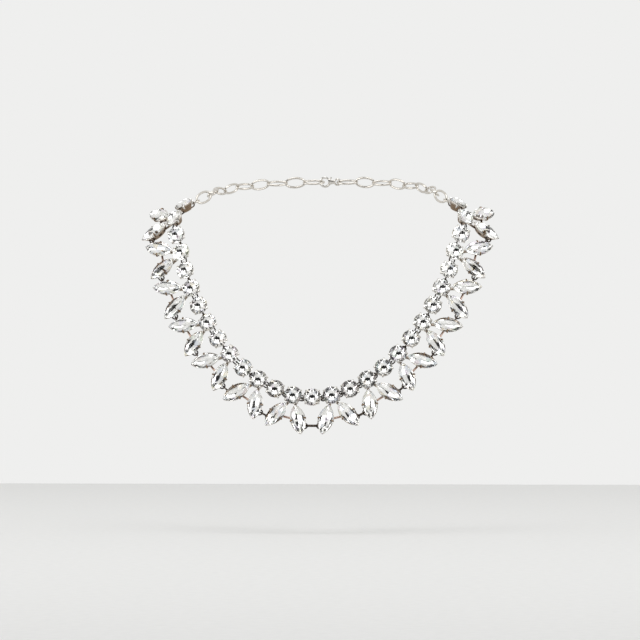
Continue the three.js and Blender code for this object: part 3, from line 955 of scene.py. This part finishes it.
claw_radius = CLASP_WIDTH / 2 - CLASP_HOOK_WALL / 2
claw_middle = CLASP_LENGTH / 2 - CLASP_WIDTH / 2
clasp = Piece()
turns = [math.radians(a) for a in range(-CLAW_TURN, CLAW_TURN + 1, 12)]
hook = [Vector((claw_radius * math.cos(t), claw_radius * math.sin(t), 0)) for t in turns]
hook = [Vector((claw_middle, 0, 0)) + p for p in hook]
walls = [CLASP_HOOK_WALL / 2 * (1.0 - CLAW_TAPER * i / len(turns)) for i in range(len(turns))]
clasp.add_wire(tube(hook, walls, 12, flat=CLASP_THICKNESS / CLASP_HOOK_WALL), "silver", 0.1)
eye_radius = CLASP_EYE_BORE / 2 + CLASP_EYE_WALL / 2
eye = [p - Vector((eye_middle, 0, 0)) for p in oval(eye_radius, eye_radius)]
eye_flat = CLASP_THICKNESS / CLASP_EYE_WALL
clasp.add_wire(tube(eye, CLASP_EYE_WALL / 2, 12, closed=True, flat=eye_flat), "silver", 0.2)
# The neck between the eye and the claw, which is widest where it meets the claw
neck = [Vector((x, 0, 0)) for x in (1.5 - eye_middle, -1.1, 0.4, 1.1)]
clasp.add_wire(tube(neck, [1.0, 1.15, 1.6, 1.3], 12, flat=NECK_FLAT), "silver", 0.2)
# The thumb lever, which stands out beside the neck
lever = [Vector((0.2, 1.5, 0)), Vector((-0.5, 2.3, 0)), Vector((-0.7, 2.75, 0))]
clasp.add_wire(tube(lever, [0.5, 0.45, 0.3], 10), "silver", 0.1)
clasp.make("cast_lobster_clasp", "lobster_clasp", route_frame(HALF_LOOP), CASTING)


# The studio: a pale matt floor below the hanging necklace, broad soft lamps, and dark cards out of sight
# round the camera that give the cut stones their black facets.
FLOOR_DROP = 0.05  # metres, as all sizes from here on
FLOOR_WIDTH = 2.2
CARD_DISTANCE = 1.7
NECKLACE_MIDDLE = Vector((0, -0.08, -0.08))


# A sweep of uncoated paper: matt, with no shine, so that it stays an even pale grey.
def matt_paper():
    made, tree = material("pale_uncoated_paper")
    place = node(tree, "ShaderNodeTexCoord").outputs["Object"]
    # Real fibres would be too fine to see and are drawn 4 mm wide.
    fibre = node(
        tree, "ShaderNodeTexNoise", None, {"Vector": place, "Scale": 1 / (4 * MM), "Detail": 3}
    )
    colour = node(
        tree,
        "ShaderNodeValToRGB",
        None,
        {"Fac": fibre.outputs["Fac"]},
        ((0.3, "#D8D8D7"), (0.7, "#DCDCDB")),
    )
    surface = node(
        tree, "ShaderNodeBsdfPrincipled", None, {"Base Color": colour.outputs[0], "Roughness": 0.9}
    )
    node(tree, "ShaderNodeOutputMaterial", None, {"Surface": surface.outputs[0]})
    return made


def sheet(name, width, location, towards, surface):
    mesh = bpy.data.meshes.new(name)
    half = width / 2
    corners = [(-half, -half, 0), (half, -half, 0), (half, half, 0), (-half, half, 0)]
    mesh.from_pydata(corners, [], [(0, 1, 2, 3)])
    mesh.materials.append(surface)
    made = bpy.data.objects.new(name, mesh)
    made.location = location
    made.rotation_euler = (towards - location).to_track_quat("Z", "Y").to_euler()
    bpy.context.scene.collection.objects.link(made)
    return made


floor_middle = Vector((0, -0.3, cad_box[0][2] - FLOOR_DROP))
sheet("floor", FLOOR_WIDTH, floor_middle, floor_middle + Vector((0, 0, 1)), matt_paper())


# Cut velvet swallows nearly all the light, so that its reflection in a facet is black.
def black_velvet():
    made, tree = material("black_cut_velvet")
    surface = node(
        tree,
        "ShaderNodeBsdfPrincipled",
        None,
        {"Base Color": linear("#0B0B0C"), "Roughness": 0.9},
    )
    node(tree, "ShaderNodeOutputMaterial", None, {"Surface": surface.outputs[0]})
    return made


def around_view(tilt, turn, distance):
    """A place that far from the necklace, tilted off the line to the camera and turned about it."""
    off, about = math.radians(tilt), math.radians(turn)
    way = Vector((math.sin(off) * math.cos(about), -math.cos(off), math.sin(off) * math.sin(about)))
    return NECKLACE_MIDDLE + way * distance


# Tilt, turn and width in metres: one card round the lens, four about it and two further up
CARDS = (
    (6, 90, 1.35),
    (38, 30, 0.8),
    (38, 90, 0.65),
    (38, 150, 0.8),
    (38, 270, 0.65),
    (62, 60, 0.75),
    (62, 120, 0.75),
)
velvet = black_velvet()
for i, (tilt, turn, width) in enumerate(CARDS):
    place = around_view(tilt, turn, CARD_DISTANCE)
    card = sheet(f"card_{i + 1}", width, place, NECKLACE_MIDDLE, velvet)
    card.visible_camera = False


def lamp(name, watts, width, location):
    data = bpy.data.lights.new(name, "AREA")
    data.energy, data.size = watts, width
    made = bpy.data.objects.new(name, data)
    made.location = location
    made.rotation_euler = (NECKLACE_MIDDLE - location).to_track_quat("-Z", "Y").to_euler()
    bpy.context.scene.collection.objects.link(made)


# Watts and width, then tilt, turn and distance: one lamp above and one to each side
lamp("lamp_top", 11, 1.3, around_view(62, 90, 1.5))
lamp("lamp_left", 9, 1.1, around_view(62, 175, 1.6))
lamp("lamp_right", 9, 1.1, around_view(62, 5, 1.6))

world = bpy.data.worlds.new("studio")
world.use_nodes = True
world.node_tree.nodes["Background"].inputs["Color"].default_value = linear("#EFEFEE")
world.node_tree.nodes["Background"].inputs["Strength"].default_value = 1.0
bpy.context.scene.world = world
bpy.context.scene.view_settings.view_transform = "Standard"
# Light crosses a foiled stone many times before it finds its way out.
bpy.context.scene.cycles.max_bounces = 32
bpy.context.scene.cycles.glossy_bounces = 24
bpy.context.scene.cycles.transmission_bounces = 24
